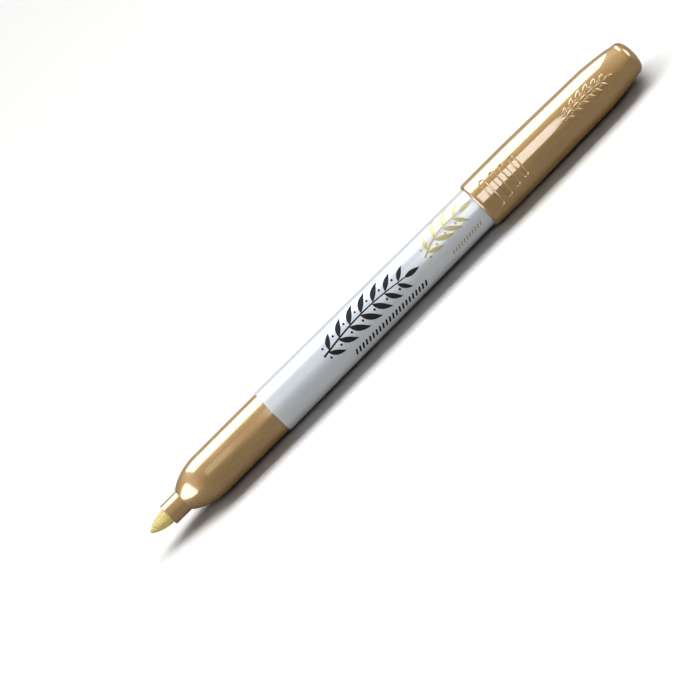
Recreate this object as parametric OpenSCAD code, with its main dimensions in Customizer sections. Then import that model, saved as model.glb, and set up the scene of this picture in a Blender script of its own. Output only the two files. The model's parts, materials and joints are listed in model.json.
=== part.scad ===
// Metallic marker pen with a bullet nib, lying on its side with the cap pushed onto its tail.
// Each turned piece is drawn as a profile of [radius, distance along the marker] in millimetres,
// where distance 0 is the point of the nib, or the rim of the cap for the pieces of the cap.

/* [Nib] */
// Diameter of the fibre nib
nib_d = 3.8; // [3:0.02:4.6]
// Diameter of the worn flat at the point
nib_point_d = 0.5; // [0.2:0.1:1]
// Length of nib that stands out of the front section
nib_reach = 5.5; // [4:0.1:7]
// Length of the curved part of the point
nib_curve_length = 5.3; // [3.5:0.1:5.4]
// Depth of the nib's tail inside the ink reservoir
nib_tail_depth = 7.5; // [4:0.5:12]
// Length of the cone at the end of the nib's tail
nib_tail_cone = 2; // [1:0.1:3]

/* [Front section] */
// Wall of the narrow tube that holds the nib
tube_wall = 0.79; // [0.6:0.01:1]
// Length of the narrow tube
tube_length = 4.8; // [3.5:0.1:6]
// Height of the small step between the tube and the shoulder
collar_step = 0.26; // [0.1:0.02:0.5]
// Length of the curved shoulder
shoulder_length = 8.2; // [6:0.1:11]
// Diameter of the straight grip
grip_d = 10.9; // [10:0.02:13.2]
// Length of the straight grip
grip_length = 19.3; // [15:0.1:28]
// Length of the spigot that plugs into the barrel
spigot_length = 10; // [6:0.5:14]
// Wall of the spigot and of the chamber in front of the reservoir
spigot_wall = 0.75; // [0.6:0.05:1]
// Length of the bore that grips the nib
nib_bore_length = 11.5; // [8:0.5:13]
// Width of each air vent beside the nib
vent_w = 0.5; // [0.3:0.1:0.7]
// Depth of each air vent in the wall of the nib bore
vent_depth = 0.3; // [0.1:0.05:0.4]
// Number of air vents beside the nib
vent_count = 4; // [2:1:6]

/* [Barrel] */
// Diameter of the barrel at its front edge
barrel_front_d = 11.4; // [11:0.02:13.8]
// Diameter of the barrel at the tail
barrel_rear_d = 10; // [8.3:0.01:10.8]
// Length of the barrel, from the grip to the tail plug
barrel_length = 87.8; // [75:0.1:106]
// Wall of the barrel
barrel_wall = 1.1; // [0.9:0.05:1.3]
// Number of ribs that steady the reservoir
rib_count = 6; // [3:1:8]
// Thickness of each rib
rib_w = 0.8; // [0.6:0.1:1.2]

/* [Tail plug] */
// Thickness of the plug's end plate
plug_plate = 1.6; // [1:0.1:3]
// Length of the plug's skirt inside the barrel
plug_skirt = 6; // [4:0.5:9]
// Wall of the plug's skirt
plug_wall = 0.9; // [0.7:0.1:1.2]
// Thickness of the crossed blades that hold the reservoir forward
plug_blade = 1; // [0.8:0.1:1.6]
// Size of the bevel round the tail
tail_bevel = 0.4; // [0.2:0.05:0.45]

/* [Ink reservoir] */
// Thickness of the plastic film round the core
film = 0.12; // [0.1:0.01:0.15]
// Distance from the front end of the core to the rear end of the grip
core_lead = 4.8; // [2:0.1:8]
// Air gap between the core and the tail plug's skirt
core_gap = 4.6; // [2:0.1:8]

/* [Cap] */
// Length of the cap
cap_length = 48.1; // [47:0.1:58]
// Wall of the cap over the grip
cap_wall = 0.47; // [0.4:0.01:0.7]
// Thickness of the cap's lip at the rim
rim_lip = 0.12; // [0.08:0.01:0.2]
// Length of the rounding at the rim
rim_round = 0.9; // [0.5:0.1:1.5]
// Depth at which the cap starts to taper
taper_start = 13; // [6:0.5:18]
// Depth at which the taper turns into the curved nose
nose_start = 34.5; // [30:0.5:38]
// Radius that the cap loses along its taper
taper_drop = 0.41; // [0.2:0.01:0.6]
// Diameter at the edge of the closed end
crown_d = 8.6; // [8:0.1:9.2]
// Height of the domed closed end
crown_height = 2.4; // [1.6:0.1:3]
// Depth to which the barrel's tail enters the cap
post_depth = 25.3; // [24:0.1:26]
// Depth of the wide bore that passes over the grip
wide_bore_depth = 19.5; // [18:0.5:20]
// Depth at which the narrow ring that holds the tail starts
ring_start = 23; // [21:0.5:23.5]

/* [Pocket clip] */
// Width of the clip
clip_w = 4.4; // [3:0.1:6]
// Thickness of the clip's arm
clip_t = 1.25; // [0.9:0.05:1.8]
// Gap between the clip's arm and the widest part of the cap
clip_gap = 0.6; // [0.4:0.05:1.5]
// Distance from the rim to the free end of the clip
clip_start = 6; // [3:0.5:12]
// Depth at which the clip's arm joins the cap
clip_root = 35; // [32:0.5:37]
// Length of the root where the clip joins the cap
clip_root_length = 8; // [6:0.5:8.5]
// Height of the gripping bump under the clip's free end
clip_bump = 0.5; // [0.2:0.05:0.5]

/* [Roll stops] */
// Height of the two low ribs beside the clip that stop the cap rolling
stop_height = 0.15; // [0.1:0.01:0.25]
// Radius of the rounded back of each rib
stop_r = 0.4; // [0.3:0.05:0.6]
// Distance from the rim to the start of the ribs
stop_start = 2.5; // [2:0.5:4]
// Length of the ribs
stop_length = 9.5; // [6:0.5:10]
// Angle that a resting marker may turn before it meets a rib
stop_play = 0.7; // [0.4:0.1:2]

/* [Thumb grooves] */
// Number of grooves across the cap, opposite the clip
groove_count = 4; // [0:1:5]
// Width of each groove
groove_w = 1.5; // [0.8:0.1:2]
// Distance from one groove to the next
groove_pitch = 2.73; // [2.2:0.01:3.5]
// Distance from the rim to the middle of the first groove
groove_start = 3.9; // [3:0.1:6]
// Depth of each groove
groove_depth = 0.18; // [0.1:0.01:0.22]
// Length of the first groove, straight across
groove_first = 7.6; // [5:0.1:9]
// How much shorter each groove is than the one before
groove_step = 0.55; // [0:0.05:0.8]

/* [Cap liner] */
// Room between the nib and the liner's bore
nib_room = 0.5; // [0.3:0.05:0.7]
// Wall of the liner over the nib's tube
liner_wall = 0.82; // [0.6:0.02:0.9]
// Depth of the liner's mouth inside the cap
liner_depth = 28.2; // [27.5:0.1:29.5]
// Length of the liner
liner_length = 16.6; // [14:0.1:16.8]
// Length of the land that seals on the nib's tube
liner_land = 5.2; // [4:0.1:6]
// Thickness of the liner's closed end
liner_end = 1.2; // [0.8:0.1:2]

/* [Clearances] */
// Radial clearance between the cap's bore and the grip
cap_slack = 0.05; // [0.03:0.01:0.1]
// Radial clearance between the ring in the cap and the barrel's tail
post_slack = 0.05; // [0.03:0.01:0.08]
// Radial clearance between the liner and the cap
liner_slack = 0.03; // [0.02:0.01:0.05]
// Radial clearance between the liner's land and the nib's tube
seal_slack = 0.06; // [0.02:0.01:0.1]
// Radial clearance between the film and the narrowest place it passes
film_slack = 0.08; // [0.02:0.01:0.15]

/* [Hidden] */
$fn = 96;
steps = 20;
eps = 0.01;
outside = 30;

nib_r = nib_d / 2;
tube_r = nib_r + tube_wall;
collar_r = tube_r + collar_step;
grip_r = grip_d / 2;

tube_z = nib_reach;
shoulder_z = tube_z + tube_length;
grip_z = shoulder_z + shoulder_length;
barrel_z = grip_z + grip_length;
plug_z = barrel_z + barrel_length;
tail_z = plug_z + plug_plate;
body_slope = (barrel_front_d - barrel_rear_d) / 2 / (tail_z - barrel_z);
spigot_r = barrel_front_d / 2 - barrel_wall;
chamber_r = spigot_r - spigot_wall;
skirt_r = barrel_rear_d / 2 - barrel_wall + 0.05;
film_r = min(chamber_r, skirt_r) - film_slack;
core_r = film_r - film;
core_front_z = barrel_z - core_lead;
skirt_z = plug_z - plug_skirt;
core_rear_z = skirt_z - core_gap;
chamber_neck_r = core_r - 0.45;
nib_end_z = core_front_z + nib_tail_depth;
snap_z = barrel_z + spigot_length * 0.6;
snap_height = 0.12;

cap_z = tail_z - post_depth;
overall = cap_z + cap_length;
crown_z = cap_length - crown_height;
bore_r = max(grip_r, barrel_front_d / 2 - body_slope * (cap_z - barrel_z)) + cap_slack;
cap_r = bore_r + cap_wall;
rim_r = bore_r + rim_lip;
nose_r = cap_r - taper_drop;
taper_angle = atan(taper_drop / (nose_start - taper_start));
tail_r = barrel_rear_d / 2;
ring_r = tail_r + body_slope * (post_depth - ring_start) + post_slack;
seat_r = tail_r - 1.6 * tail_bevel;
land_r = tube_r + seal_slack;
liner_r = land_r + liner_wall;
liner_hole_r = liner_r + liner_slack;
lip_bevel = 0.04;

clip_reach = cap_r + clip_gap + clip_t;
clip_under = cap_r + clip_gap;
clip_edge_angle = asin(clip_w / 2 / clip_reach);
clip_angle = acos(cap_r / clip_reach) + clip_edge_angle;
clip_side = clip_reach * sin(min(90, clip_angle + clip_edge_angle));
axis_y = (cap_r - clip_side) / 2;

stop_reach = cap_r + stop_height;
stop_angle = clip_angle + acos(cap_r / stop_reach) + stop_play;

gold = [0.55, 0.41, 0.25];
pale_grey = [0.84, 0.86, 0.91];
ink_gold = [0.82, 0.72, 0.38];

// Lays a turned piece along +X with its own zero at the given distance from the nib's point.
// The piece's +X side then faces down and its +Y side faces back.
module lay(distance) {
    translate([distance - overall / 2, axis_y, cap_r])
        rotate([0, 90, 0])
            children();
}

module turned(profile) {
    rotate_extrude()
        polygon(profile);
}

// Radius of the barrel's outside at a distance from the nib's point.
function barrel_r(z) = barrel_front_d / 2 - body_slope * (z - barrel_z);

// Curve that rises from [r0, z0] and runs level as it reaches [r1, z1].
function rising_arc(r0, z0, r1, z1) =
    let (rise = r1 - r0, run = z1 - z0, radius = (run * run + rise * rise) / (2 * rise),
         sweep = asin(run / radius))
    [for (i = [0:steps]) let (a = sweep * (1 - i / steps))
        [r1 - radius + radius * cos(a), z1 - radius * sin(a)]];

// Curve that leaves [r0, z0] falling at the given angle and bends down to [r1, z1].
function falling_arc(r0, z0, angle, r1, z1) =
    let (run = z1 - z0, drop = r0 - r1,
         radius = (run * run + drop * drop) / 2 / (drop * cos(angle) - run * sin(angle)),
         mid_r = r0 - radius * cos(angle), mid_z = z0 - radius * sin(angle),
         last = asin((z1 - mid_z) / radius))
    [for (i = [0:steps]) let (a = angle + (last - angle) * i / steps)
        [mid_r + radius * cos(a), mid_z + radius * sin(a)]];

// Flattened dome from [r0, z0] to the axis.
function crown_curve(r0, z0, height, power) =
    [for (i = [1:steps]) let (a = 90 * i / steps)
        [i == steps ? 0 : r0 * pow(cos(a), 2 / power), z0 + height * pow(sin(a), 2 / power)]];

module nib() {
    color(ink_gold)
        lay(0)
            turned(concat(
                [[0, 0]],
                rising_arc(nib_point_d / 2, 0, nib_r, nib_curve_length),
                [[nib_r, nib_end_z - nib_tail_cone], [nib_point_d, nib_end_z], [0, nib_end_z]]));
}

module nib_vents() {
    for (i = [0:vent_count - 1])
        rotate([0, 0, 45 + 360 * i / vent_count])
            translate([nib_r - eps, -vent_w / 2, tube_z - 1])
                cube([vent_depth + eps, vent_w, nib_bore_length + 1]);
}

module front_section() {
    edge = 0.15;
    snap_w = 0.8;
    neck_z = tube_z + nib_bore_length;
    color(gold)
        lay(0)
            difference() {
                turned(concat(
                    [[nib_r, tube_z], [tube_r - edge, tube_z], [tube_r, tube_z + edge], [tube_r, shoulder_z]],
                    rising_arc(collar_r, shoulder_z, grip_r, grip_z),
                    [[grip_r, barrel_z], [spigot_r, barrel_z], [spigot_r, snap_z - snap_w],
                     [spigot_r + snap_height, snap_z], [spigot_r, snap_z + snap_w],
                     [spigot_r, barrel_z + spigot_length - 0.5],
                     [spigot_r - 0.3, barrel_z + spigot_length],
                     [chamber_r, barrel_z + spigot_length], [chamber_r, core_front_z],
                     [chamber_neck_r, core_front_z], [chamber_neck_r, grip_z + 3], [nib_r, neck_z]]));
                nib_vents();
            }
}

module barrel_tube() {
    edge = 0.12;
    snap_w = 0.8;
    spigot_end = barrel_z + spigot_length + 0.2;
    turned([
        [spigot_r, barrel_z], [barrel_front_d / 2 - edge, barrel_z], [barrel_r(barrel_z + edge), barrel_z + edge],
        [barrel_r(plug_z), plug_z], [skirt_r, plug_z], [skirt_r, skirt_z],
        [barrel_r(spigot_end) - barrel_wall - spigot_wall / 5, spigot_end], [spigot_r, spigot_end],
        [spigot_r, snap_z + snap_w], [spigot_r + snap_height, snap_z], [spigot_r, snap_z - snap_w]]);
}

// Ribs that run along the barrel's bore and touch the reservoir's film.
module barrel_ribs() {
    rib_start = barrel_z + spigot_length + 2;
    rib_length = core_rear_z - rib_start;
    root_depth = barrel_wall / 2;
    difference() {
        intersection() {
            for (i = [0:rib_count - 1])
                rotate([0, 0, 360 * i / rib_count])
                    translate([0, -rib_w / 2, rib_start])
                        cube([barrel_front_d, rib_w, rib_length]);
            turned([[0, barrel_z], [barrel_r(barrel_z) - root_depth, barrel_z],
                    [barrel_r(tail_z) - root_depth, tail_z], [0, tail_z]]);
        }
        translate([0, 0, barrel_z])
            cylinder(r = film_r, h = barrel_length);
    }
}

module barrel() {
    color(pale_grey)
        lay(0)
            union() {
                barrel_tube();
                barrel_ribs();
            }
}

module nib_pocket() {
    turned([[0, core_front_z - 1], [nib_r, core_front_z - 1], [nib_r, nib_end_z - nib_tail_cone],
            [nib_point_d, nib_end_z], [0, nib_end_z]]);
}

module reservoir_core() {
    color("ivory")
        lay(0)
            difference() {
                translate([0, 0, core_front_z])
                    cylinder(r = core_r, h = core_rear_z - core_front_z);
                nib_pocket();
            }
}

module reservoir_film() {
    color("lightgrey")
        lay(0)
            turned([[core_r, core_front_z], [film_r, core_front_z], [film_r, core_rear_z],
                    [core_r, core_rear_z]]);
}

module plug_blades() {
    reach = skirt_r - plug_wall + 0.2;
    for (turn = [0, 90])
        rotate([0, 0, turn])
            translate([-reach, -plug_blade / 2, skirt_z])
                cube([2 * reach, plug_blade, plug_skirt]);
    translate([0, 0, core_rear_z])
        cylinder(d = core_r, h = plug_z - core_rear_z);
}

module tail_plug() {
    color(gold)
        lay(0)
            union() {
                turned([[skirt_r - plug_wall, skirt_z], [skirt_r, skirt_z], [skirt_r, plug_z],
                        [barrel_r(plug_z), plug_z], [tail_r, tail_z - tail_bevel],
                        [tail_r - tail_bevel, tail_z], [0, tail_z], [0, plug_z],
                        [skirt_r - plug_wall, plug_z]]);
                plug_blades();
            }
}

module cap_turned() {
    tip_z = liner_depth + liner_length + 0.2;
    seat_end_z = liner_depth - 0.2;
    turned(concat(
        [[bore_r + lip_bevel, 0], [rim_r, 0]],
        rising_arc(rim_r + lip_bevel, lip_bevel, cap_r, rim_round),
        [[cap_r, taper_start]],
        falling_arc(nose_r, nose_start, taper_angle, crown_d / 2, crown_z),
        crown_curve(crown_d / 2, crown_z, crown_height, 2.6),
        [[0, tip_z], [liner_hole_r, tip_z], [liner_hole_r, seat_end_z], [seat_r, post_depth],
         [ring_r, post_depth], [ring_r, ring_start], [bore_r, wide_bore_depth],
         [bore_r, lip_bevel * 4]]));
}

// Side view of the clip as [radius, depth], from the free end to the root in the cap's wall.
module clip_side_view() {
    root_r = liner_hole_r + 0.7;
    end_z = clip_root + clip_root_length;
    union() {
        polygon(concat(
            [[clip_under, clip_start], [clip_reach, clip_start]],
            falling_arc(clip_reach, clip_root, 0, root_r, end_z),
            [[root_r, clip_root + 1], [clip_under - 0.6, clip_root], [clip_under, clip_root - 0.6]]));
        translate([clip_under + clip_t / 3, clip_start + 2.4])
            circle(r = clip_bump + clip_t / 3);
    }
}

module clip_plan() {
    translate([-clip_w / 2, clip_start + clip_w / 2])
        square([clip_w, clip_root + clip_root_length - clip_start]);
    translate([0, clip_start + clip_w / 2])
        circle(d = clip_w);
}

module clip() {
    rotate([0, 0, clip_angle])
        intersection() {
            translate([0, clip_w, 0])
                rotate([90, 0, 0])
                    linear_extrude(height = 2 * clip_w)
                        clip_side_view();
            rotate([90, 0, 90])
                linear_extrude(height = outside)
                    clip_plan();
            cylinder(r = clip_reach, h = cap_length);
        }
}

// One low rib with round ends, turned away from the clip, that stops short of the bore.
module roll_stop(turn) {
    rotate([0, 0, clip_angle + turn])
        difference() {
            translate([stop_reach - stop_r, 0, stop_start + stop_r])
                union() {
                    cylinder(r = stop_r, h = stop_length - 2 * stop_r);
                    sphere(r = stop_r);
                    translate([0, 0, stop_length - 2 * stop_r])
                        sphere(r = stop_r);
                }
            cylinder(r = cap_r - cap_wall / 2, h = cap_length);
        }
}

// One groove: a slot with round ends that only cuts the skin of the cap.
module groove(length) {
    intersection() {
        difference() {
            translate([0, 0, -groove_w])
                cylinder(r = outside, h = 2 * groove_w);
            translate([0, 0, -2 * groove_w])
                cylinder(r = cap_r - groove_depth, h = 4 * groove_w);
        }
        rotate([0, 90, 0])
            linear_extrude(height = outside)
                union() {
                    square([groove_w, length - groove_w], center = true);
                    for (side = [-1, 1])
                        translate([0, side * (length - groove_w) / 2])
                            circle(d = groove_w, $fn = 32);
                }
    }
}

module thumb_grooves() {
    rotate([0, 0, clip_angle + 180])
        for (i = [0:groove_count - 1])
            translate([0, 0, groove_start + i * groove_pitch])
                groove(groove_first - i * groove_step);
}

module cap_shell() {
    color(gold)
        lay(cap_z)
            difference() {
                union() {
                    cap_turned();
                    clip();
                    roll_stop(-stop_angle);
                    roll_stop(stop_angle);
                }
                thumb_grooves();
            }
}

module cap_liner() {
    bore = nib_r + nib_room;
    end_z = liner_depth + liner_length;
    land_z = liner_depth + liner_land;
    color("gainsboro")
        lay(cap_z)
            turned([[land_r, liner_depth + 0.3], [land_r + 0.3, liner_depth], [liner_r, liner_depth],
                    [liner_r, end_z], [0, end_z], [0, end_z - liner_end], [bore, end_z - liner_end],
                    [bore, land_z + 1], [land_r, land_z]]);
}

nib();
front_section();
barrel();
reservoir_core();
reservoir_film();
tail_plug();
cap_shell();
cap_liner();
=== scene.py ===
"""Looks of a gold metallic marker pen that lies on a white table with its cap on its tail.

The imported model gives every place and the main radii. The fields of the classes hold the finer
sizes, in millimetres, and the meshes are in metres.
"""

import json
import logging
import math
from dataclasses import dataclass
from enum import Enum

import bmesh
import bpy
import numpy as np
from mathutils import Matrix, Vector


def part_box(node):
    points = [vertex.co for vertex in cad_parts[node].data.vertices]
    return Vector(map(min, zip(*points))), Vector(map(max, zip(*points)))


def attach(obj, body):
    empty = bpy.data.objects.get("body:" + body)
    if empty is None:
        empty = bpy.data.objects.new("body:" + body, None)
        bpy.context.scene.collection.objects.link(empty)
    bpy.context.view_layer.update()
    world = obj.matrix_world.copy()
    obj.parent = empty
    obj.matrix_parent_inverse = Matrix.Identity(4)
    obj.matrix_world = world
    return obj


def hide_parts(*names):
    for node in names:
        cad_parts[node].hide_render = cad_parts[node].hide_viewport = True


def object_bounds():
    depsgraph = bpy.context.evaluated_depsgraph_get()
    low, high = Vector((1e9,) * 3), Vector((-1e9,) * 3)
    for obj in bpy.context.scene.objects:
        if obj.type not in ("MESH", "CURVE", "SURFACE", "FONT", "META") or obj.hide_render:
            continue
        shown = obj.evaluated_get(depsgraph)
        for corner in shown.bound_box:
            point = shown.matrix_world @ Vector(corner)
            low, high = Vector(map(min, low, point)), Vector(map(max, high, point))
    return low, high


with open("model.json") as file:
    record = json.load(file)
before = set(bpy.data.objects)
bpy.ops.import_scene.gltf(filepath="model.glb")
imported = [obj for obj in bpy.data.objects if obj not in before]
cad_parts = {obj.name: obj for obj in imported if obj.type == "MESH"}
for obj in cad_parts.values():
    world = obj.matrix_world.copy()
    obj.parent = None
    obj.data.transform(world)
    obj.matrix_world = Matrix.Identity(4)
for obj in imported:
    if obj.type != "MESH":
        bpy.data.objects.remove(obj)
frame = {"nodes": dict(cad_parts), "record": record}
CAD_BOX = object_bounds()
MM = 0.001
LOG = logging.getLogger("marker")

# A radius that counts as the centre line, the least share of a stroke's width at its ends, the
# opening of a corner that needs no rounding and the greatest share of an edge that rounding takes
ON_LINE = 1e-6
POINT = 0.03
STRAIGHT = math.radians(172)
EDGE_SHARE = 0.45

# Angles between faces that make a sharp edge, on the pieces and on the ink
CREASE = math.radians(38)
INK_CREASE = math.radians(30)

Colour = tuple[float, float, float, float]
Curve = list[tuple[float, float]]


# Places


@dataclass(frozen=True)
class Layout:
    """The marker's centre line and the places of its pieces, in millimetres.

    Angles are in radians round the centre line. Angle 0 is the side with the thumb grooves, and a
    positive angle is higher up.
    """

    line_y: float
    line_z: float
    facing: float
    nib: float
    tube: float
    barrel: float
    tail: float
    plug_end: float
    rim: float
    cap_end: float
    tube_radius: float
    grip_radius: float
    barrel_radius: float
    cap_radius: float

    @classmethod
    def from_frame(cls) -> "Layout":
        """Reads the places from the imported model.

        Returns:
            The layout of this marker.
        """
        mounts = {m["name"]: m for m in frame["record"]["mounts"]}
        _, line_y, line_z = (v / MM for v in mounts["grip"]["pos_m"])
        cap = np.array([v.co for v in frame["nodes"]["cap_shell"].data.vertices]) / MM
        side = cap[:, 1:] - (line_y, line_z)
        beyond_shell = np.linalg.norm(side, axis=1) > 1.1 * line_z
        clip = side[beyond_shell].mean(axis=0)
        low = {name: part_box(name)[0].x / MM for name in frame["nodes"]}
        high = {name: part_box(name)[1].x / MM for name in frame["nodes"]}
        barrel_low, barrel_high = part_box("barrel")
        return cls(
            line_y=line_y,
            line_z=line_z,
            facing=math.atan2(-clip[1], clip[0]),
            nib=low["nib"],
            tube=low["front_section"],
            barrel=low["barrel"],
            tail=high["barrel"],
            plug_end=high["tail_plug"],
            rim=low["cap_shell"],
            cap_end=high["cap_shell"],
            tube_radius=mounts["nib_tube"]["dims"]["r_mm"],
            grip_radius=mounts["grip"]["dims"]["r_mm"],
            barrel_radius=(barrel_high.z - barrel_low.z) / 2 / MM,
            cap_radius=line_z,
        )

    @property
    def below(self) -> float:
        """Gives the angle of straight down, from which the vents, ribs and blades are counted."""
        return -math.pi / 2 - self.facing

    def place(self, x: np.ndarray, radius: np.ndarray, angle: np.ndarray) -> np.ndarray:
        """Turns places round the centre line into points.

        Args:
            x: Distances along the marker.
            radius: Distances from the centre line.
            angle: Angles from the facing side.

        Returns:
            Points in metres, with x, y and z in the last axis.
        """
        turn = self.facing + angle
        y = self.line_y - radius * np.cos(turn)
        z = self.line_z + radius * np.sin(turn)
        return np.stack(np.broadcast_arrays(x, y, z), axis=-1) * MM


# Outlines, as arrays of (distance along the marker, radius, edge), where edge is 1 on a worn corner


def outline(points: list[tuple[float, ...]], rounding: float = 0.12, steps: int = 5) -> np.ndarray:
    """Rounds the corners of an outline.

    Args:
        points: Corners as (x, radius), or (x, radius, rounding) for one with its own rounding.
        rounding: Radius of the other corners that turn by more than a few degrees.
        steps: Faces on each rounded corner.

    Returns:
        Rows of x, radius and edge.
    """
    rows = []
    last = len(points) - 1
    for i, point in enumerate(points):
        here = np.array(point[:2], float)
        if i in (0, last):
            rows.append((*here, 0.0))
            continue
        back = np.array(points[i - 1][:2], float) - here
        ahead = np.array(points[i + 1][:2], float) - here
        back_length, ahead_length = np.linalg.norm(back), np.linalg.norm(ahead)
        back, ahead = back / back_length, ahead / ahead_length
        opening = math.acos(float(np.clip(back @ ahead, -1, 1)))
        size = point[2] if len(point) > 2 else rounding
        if opening > STRAIGHT or size == 0:
            rows.append((*here, 0.0))
            continue
        most = EDGE_SHARE * min(back_length, ahead_length)
        setback = min(size / math.tan(opening / 2), most)
        start, end = here + back * setback, here + ahead * setback
        for t in np.linspace(0, 1, steps + 1):
            spot = (1 - t) ** 2 * start + 2 * t * (1 - t) * here + t**2 * end
            rows.append((*spot, math.sin(math.pi * t)))
    return np.array(rows)


def rising_arc(x0: float, r0: float, x1: float, r1: float, steps: int = 40) -> Curve:
    """Gives a curve that rises from (x0, r0) and runs level as it reaches (x1, r1)."""
    run, rise = x1 - x0, r1 - r0
    radius = (run * run + rise * rise) / (2 * rise)
    sweep = math.asin(run / radius)
    turns = np.linspace(sweep, 0, steps + 1)
    return [(x1 - radius * math.sin(a), r1 - radius + radius * math.cos(a)) for a in turns]


def falling_arc(x0: float, r0: float, slope: float, x1: float, r1: float, steps: int = 40) -> Curve:
    """Gives a curve that leaves (x0, r0) falling at an angle and bends down to (x1, r1)."""
    run, drop = x1 - x0, r0 - r1
    radius = (run * run + drop * drop) / 2 / (drop * math.cos(slope) - run * math.sin(slope))
    mid_x, mid_r = x0 - radius * math.sin(slope), r0 - radius * math.cos(slope)
    turns = np.linspace(slope, math.asin((x1 - mid_x) / radius), steps + 1)
    return [(mid_x + radius * math.sin(a), mid_r + radius * math.cos(a)) for a in turns]


def dome(x0: float, r0: float, height: float, power: float, steps: int = 40) -> Curve:
    """Gives a flattened dome from (x0, r0) to the centre line."""
    turns = np.linspace(0, math.pi / 2, steps + 1)[1:]
    rows = [
        (x0 + height * math.sin(a) ** (2 / power), r0 * max(math.cos(a), 0) ** (2 / power))
        for a in turns
    ]
    rows[-1] = (x0 + height, 0.0)
    return rows


def denser(rows: np.ndarray, start: float, end: float, step: float) -> np.ndarray:
    """Adds rows to the straight stretches of an outline.

    Args:
        rows: Rows of x, radius and edge.
        start: Where the added rows start along the marker.
        end: Where they end.
        step: Greatest distance between the rows there.

    Returns:
        The rows with the added ones.
    """
    out = [rows[0]]
    spots = np.arange(start, end, step)
    for a, b in zip(rows[:-1], rows[1:]):
        inside = spots[(spots > a[0] + step / 3) & (spots < b[0] - step / 3)]
        out.extend(a + (b - a) * (x - a[0]) / (b[0] - a[0]) for x in inside)
        out.append(b)
    return np.array(out)


# Meshes


def even_angles(count: int) -> np.ndarray:
    """Gives equal steps round a full turn."""
    return np.arange(count) * 2 * math.pi / count


def facing_angles(half_width: float, fine: float, coarse: float) -> np.ndarray:
    """Gives steps round a full turn that are finer on the facing side.

    Args:
        half_width: Half of the finely stepped sector, in degrees.
        fine: Step inside it, in degrees.
        coarse: Step outside it, in degrees.

    Returns:
        Angles in radians.
    """
    inner = np.linspace(-half_width, half_width, round(2 * half_width / fine) + 1)
    rest = 360 - 2 * half_width
    outer = half_width + np.linspace(0, rest, round(rest / coarse) + 1)[1:-1]
    return np.radians(np.concatenate([inner, outer]))


def spokes(
    angles: np.ndarray, radius: float, width: float, first: float, count: int, flank: float = 0.06
) -> np.ndarray:
    """Tells which angles lie on evenly spaced ribs or slots.

    Args:
        angles: Angles of the vertices in a ring.
        radius: Radius of the ring.
        width: Width of each rib.
        first: Angle of the first rib.
        count: Number of ribs.
        flank: Width of the slope at a rib's sides.

    Returns:
        1 on a rib, 0 between the ribs and a steep slope at their sides.
    """
    spots = first + even_angles(count)
    away = np.abs((angles[:, None] - spots + math.pi) % (2 * math.pi) - math.pi).min(axis=1)
    return np.clip((width / 2 - away * radius) / flank + 0.5, 0, 1)


def bands(rings: int, count: int) -> list[tuple[int, ...]]:
    """Gives the faces between neighbouring rings of points, with the same number in each."""
    faces = []
    for a in range(0, (rings - 1) * count, count):
        b = a + count
        faces.extend((a + j, a + (j + 1) % count, b + (j + 1) % count, b + j) for j in range(count))
    return faces


def into_scene(name: str, data: bpy.types.ID) -> bpy.types.Object:
    """Makes an object with the data and links it into the scene."""
    thing = bpy.data.objects.new(name, data)
    bpy.context.scene.collection.objects.link(thing)
    return thing


def new_object(name: str, vertices: np.ndarray, faces: list[tuple[int, ...]]) -> bpy.types.Object:
    """Makes a smooth closed mesh with its faces turned outwards.

    Args:
        name: Name of the piece.
        vertices: Points in metres.
        faces: Vertex indices of each face.

    Returns:
        The new object, in the scene.
    """
    mesh = bpy.data.meshes.new(name)
    mesh.from_pydata(vertices.tolist(), [], faces)
    work = bmesh.new()
    work.from_mesh(mesh)
    bmesh.ops.recalc_face_normals(work, faces=work.faces)
    if work.calc_volume(signed=True) < 0:
        bmesh.ops.reverse_faces(work, faces=work.faces)
    work.to_mesh(mesh)
    work.free()
    mesh.shade_smooth()
    mesh.set_sharp_from_angle(angle=CREASE)
    return into_scene(name, mesh)


def lathe(
    name: str,
    layout: Layout,
    rows: np.ndarray,
    angles: np.ndarray,
    lift: np.ndarray | None = None,
) -> bpy.types.Object:
    """Turns an outline round the centre line.

    Args:
        name: Name of the piece.
        layout: Places of the marker.
        rows: Rows of x, radius and edge. An outline that doesn't end on the centre line is closed.
        angles: Angles of the vertices in each ring.
        lift: What is added to the radius, for each row and angle.

    Returns:
        The new object, with the edge of each vertex in an attribute.
    """
    count = len(angles)
    grid = np.zeros((len(rows), count), int)
    points, edges = [], []
    for i, (x, radius, edge) in enumerate(rows):
        if radius < ON_LINE:
            grid[i] = len(points)
            points.append(layout.place(x, 0.0, 0.0))
            edges.append(edge)
            continue
        grid[i] = len(points) + np.arange(count)
        spread = radius + (lift[i] if lift is not None else 0.0)
        points.extend(layout.place(np.full(count, x), spread, angles))
        edges.extend([edge] * count)
    order = list(range(len(rows)))
    if rows[0][1] > ON_LINE and rows[-1][1] > ON_LINE:
        order.append(0)
    faces = []
    for a, b in zip(order[:-1], order[1:]):
        for j in range(count):
            k = (j + 1) % count
            ring = (grid[a, j], grid[a, k], grid[b, k], grid[b, j])
            face = tuple(dict.fromkeys(int(v) for v in ring))
            if len(face) > 2:
                faces.append(face)
    piece = new_object(name, np.array(points), faces)
    worn = piece.data.attributes.new("edge", "FLOAT", "POINT")
    worn.data.foreach_set("value", np.array(edges, np.float32))
    return piece


# Pen strokes, used for the printed ornaments and for the raised one on the cap


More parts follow.
